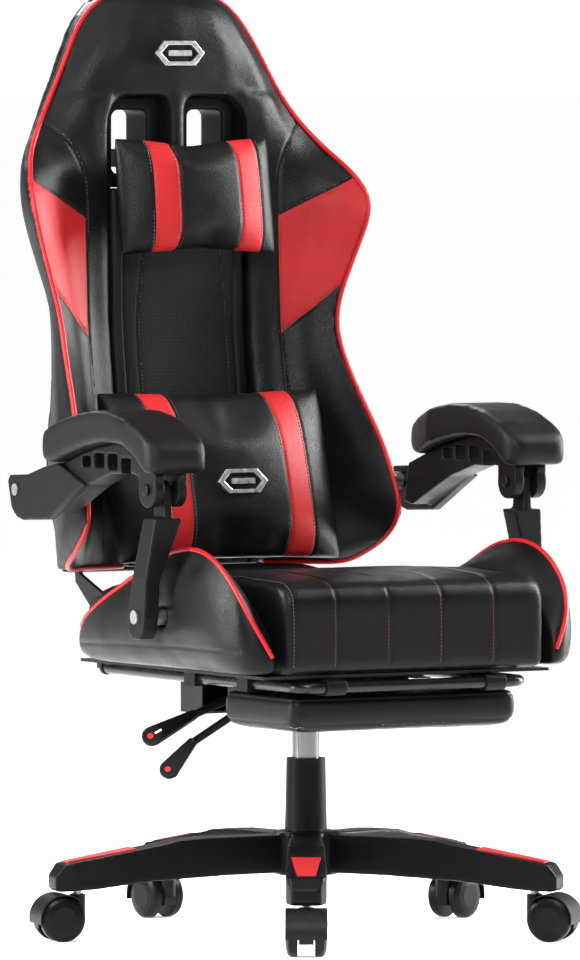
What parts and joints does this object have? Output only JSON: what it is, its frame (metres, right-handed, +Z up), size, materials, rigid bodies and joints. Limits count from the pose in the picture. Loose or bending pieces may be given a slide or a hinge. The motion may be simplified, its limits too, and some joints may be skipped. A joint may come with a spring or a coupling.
{
  "type": "gaming chair",
  "caption": "Gaming chair with winged backrest, red piping, pillows, bucket seat, linkage armrests, pull-out footrest, gas lift and star base on casters.",
  "frame": {"origin": "on the floor under the gas lift's axis, at the swivel centre of the base", "axes": "+Z up, the sitter faces -Y, +X towards the sitter's left"},
  "size_m": [0.7223, 0.7944, 1.244],
  "materials": {
    "base_nylon": "satin black moulded nylon",
    "red_trim": "satin red plastic",
    "steel": "black zinc and grey painted steel",
    "black_steel": "black powder coat",
    "chrome_tube": "polished hard chrome",
    "black_plastic": "fine-textured black plastic",
    "wheel_nylon": "satin black nylon",
    "arm_foam": "soft moulded polyurethane skin",
    "black_leather": "pebbled black PU leather over foam",
    "red_leather": "pebbled red PU leather over foam",
    "red_piping": "glossy red PU piping",
    "mesh_leather": "perforated matte PU leather over foam",
    "webbing": "woven elastic webbing",
    "stitching": "polyester thread",
    "silver_badge": "satin silver plastic"
  },
  "bodies": {
    "base": {"star_base": "base_nylon", "leg_inserts": "red_trim", "caster_stems": "steel", "outer_tube": "black_steel", "thrust_bearing": "steel", "guide_bush": "black_plastic", "column_cover": "base_nylon"},
    "spindle": {"piston_rod": "steel"},
    "seat": {"pressure_tube": "chrome_tube", "mechanism_housing": "black_steel", "lever_pivot_pin": "steel", "seat_frame": "black_steel", "seat_cushion": "black_leather", "seat_bolster_left": "black_leather", "seat_bolster_right": "black_leather", "post_bolts": "steel", "recline_shaft": "steel", "hinge_covers": "black_plastic", "footrest_guides": "black_plastic"},
    "gas_button": {"release_pin": "steel"},
    "height_handle": {"height_lever": "black_plastic"},
    "recline_handle": {"recline_lever": "black_plastic"},
    "footrest_slider": {"footrest_rod": "black_steel", "rod_end_caps": "black_plastic"},
    "footrest_flap": {"footrest_clamps": "black_plastic", "footrest_pad": "black_leather"},
    "back": {"back_frame": "black_steel", "back_webbing": "webbing", "recline_arms": "black_steel", "centre_pad": "mesh_leather", "wing_left": "black_leather", "wing_right": "black_leather", "headrest_pad": "black_leather", "headrest_spine": "black_leather", "rear_cover": "black_leather", "strap_bezels": "black_plastic", "wing_brackets": "black_steel", "arm_bolts": "steel", "head_pillow": "black_leather", "head_pillow_strap": "webbing", "strap_buckle": "black_plastic", "lumbar_pillow": "black_leather"},
    "arm_left": {"arm_pad_left": "arm_foam", "arm_bracket_left": "black_plastic"},
    "arm_right": {"arm_pad_right": "arm_foam", "arm_bracket_right": "black_plastic"},
    "post_left": {"arm_post_left": "black_plastic"},
    "post_right": {"arm_post_right": "black_plastic"},
    "caster_1": {"caster_hood_1": "black_plastic"},
    "wheels_1": {"caster_wheels_1": "wheel_nylon"},
    "caster_2": {"caster_hood_2": "black_plastic"},
    "wheels_2": {"caster_wheels_2": "wheel_nylon"},
    "caster_3": {"caster_hood_3": "black_plastic"},
    "wheels_3": {"caster_wheels_3": "wheel_nylon"},
    "caster_4": {"caster_hood_4": "black_plastic"},
    "wheels_4": {"caster_wheels_4": "wheel_nylon"},
    "caster_5": {"caster_hood_5": "black_plastic"},
    "wheels_5": {"caster_wheels_5": "wheel_nylon"}
  },
  "joints": [
    {"name": "seat_swivel", "type": "hinge", "parent": "base", "child": "spindle", "pos_m": [0, 0, 0.1], "axis": [0, 0, 1], "continuous": true},
    {"name": "seat_lift", "type": "slide", "parent": "spindle", "child": "seat", "axis": [0, 0, 1], "range_m": [-0.035, 0.06]},
    {"name": "gas_button_press", "type": "slide", "parent": "seat", "child": "gas_button", "axis": [0, 0, -1], "range_m": [0, 0.0031], "stiffness_N_per_m": 400},
    {"name": "height_lever_pull", "type": "hinge", "parent": "seat", "child": "height_handle", "pos_m": [-0.024, 0.012, 0.336], "axis": [0, 1, 0], "range_deg": [0, 8], "stiffness_Nm_per_rad": 3, "springref_deg": -8.59},
    {"name": "recline_lever_pull", "type": "hinge", "parent": "seat", "child": "recline_handle", "pos_m": [-0.024, 0.044, 0.336], "axis": [0, 1, 0], "range_deg": [0, 8], "stiffness_Nm_per_rad": 3, "springref_deg": -8.59},
    {"name": "back_recline", "type": "hinge", "parent": "seat", "child": "back", "pos_m": [0, 0.263, 0.419], "axis": [-1, 0, 0], "range_deg": [0, 45]},
    {"name": "armrest_left_pivot", "type": "hinge", "parent": "back", "child": "arm_left", "pos_m": [0.295, 0.243, 0.585], "axis": [-1, 0, 0], "range_deg": [-45, 0]},
    {"name": "armrest_right_pivot", "type": "hinge", "parent": "back", "child": "arm_right", "pos_m": [-0.295, 0.243, 0.585], "axis": [-1, 0, 0], "range_deg": [-45, 0]},
    {"name": "post_left_pivot", "type": "hinge", "parent": "seat", "child": "post_left", "pos_m": [0.29, -0.08, 0.431], "axis": [-1, 0, 0], "range_deg": [0, 45]},
    {"name": "post_right_pivot", "type": "hinge", "parent": "seat", "child": "post_right", "pos_m": [-0.29, -0.08, 0.431], "axis": [-1, 0, 0], "range_deg": [0, 45]},
    {"name": "footrest_pull", "type": "slide", "parent": "seat", "child": "footrest_slider", "axis": [0, -1, 0], "range_m": [0, 0.2]},
    {"name": "footrest_flip", "type": "hinge", "parent": "footrest_slider", "child": "footrest_flap", "pos_m": [0, -0.279, 0.345], "axis": [-1, 0, 0], "range_deg": [0, 180]},
    {"name": "caster_1_swivel", "type": "hinge", "parent": "base", "child": "caster_1", "pos_m": [-0.1575, -0.2728, 0.045], "axis": [0, 0, 1], "continuous": true},
    {"name": "wheels_1_spin", "type": "hinge", "parent": "caster_1", "child": "wheels_1", "pos_m": [-0.17, -0.29445, 0.03], "axis": [0.866, -0.5, 0], "continuous": true},
    {"name": "caster_2_swivel", "type": "hinge", "parent": "base", "child": "caster_2", "pos_m": [0.21078, -0.23409, 0.045], "axis": [0, 0, 1], "continuous": true},
    {"name": "wheels_2_spin", "type": "hinge", "parent": "caster_2", "child": "wheels_2", "pos_m": [0.2275, -0.25267, 0.03], "axis": [0.7431, 0.6691, 0], "continuous": true},
    {"name": "caster_3_swivel", "type": "hinge", "parent": "base", "child": "caster_3", "pos_m": [0.28777, 0.12812, 0.045], "axis": [0, 0, 1], "continuous": true},
    {"name": "wheels_3_spin", "type": "hinge", "parent": "caster_3", "child": "wheels_3", "pos_m": [0.31061, 0.13829, 0.03], "axis": [-0.4067, 0.9135, 0], "continuous": true},
    {"name": "caster_4_swivel", "type": "hinge", "parent": "base", "child": "caster_4", "pos_m": [-0.03293, 0.31327, 0.045], "axis": [0, 0, 1], "continuous": true},
    {"name": "wheels_4_spin", "type": "hinge", "parent": "caster_4", "child": "wheels_4", "pos_m": [-0.03554, 0.33814, 0.03], "axis": [-0.9945, -0.1045, 0], "continuous": true},
    {"name": "caster_5_swivel", "type": "hinge", "parent": "base", "child": "caster_5", "pos_m": [-0.30812, 0.06549, 0.045], "axis": [0, 0, 1], "continuous": true},
    {"name": "wheels_5_spin", "type": "hinge", "parent": "caster_5", "child": "wheels_5", "pos_m": [-0.33257, 0.07069, 0.03], "axis": [-0.2079, -0.9781, 0], "continuous": true}
  ],
  "couplings": [
    {"joint": "gas_button_press", "follows": "height_lever_pull", "m_per_rad": 0.022},
    {"joint": "armrest_left_pivot", "follows": "back_recline", "ratio": -1},
    {"joint": "armrest_right_pivot", "follows": "back_recline", "ratio": -1},
    {"joint": "post_left_pivot", "follows": "back_recline", "ratio": 1},
    {"joint": "post_right_pivot", "follows": "back_recline", "ratio": 1}
  ]
}
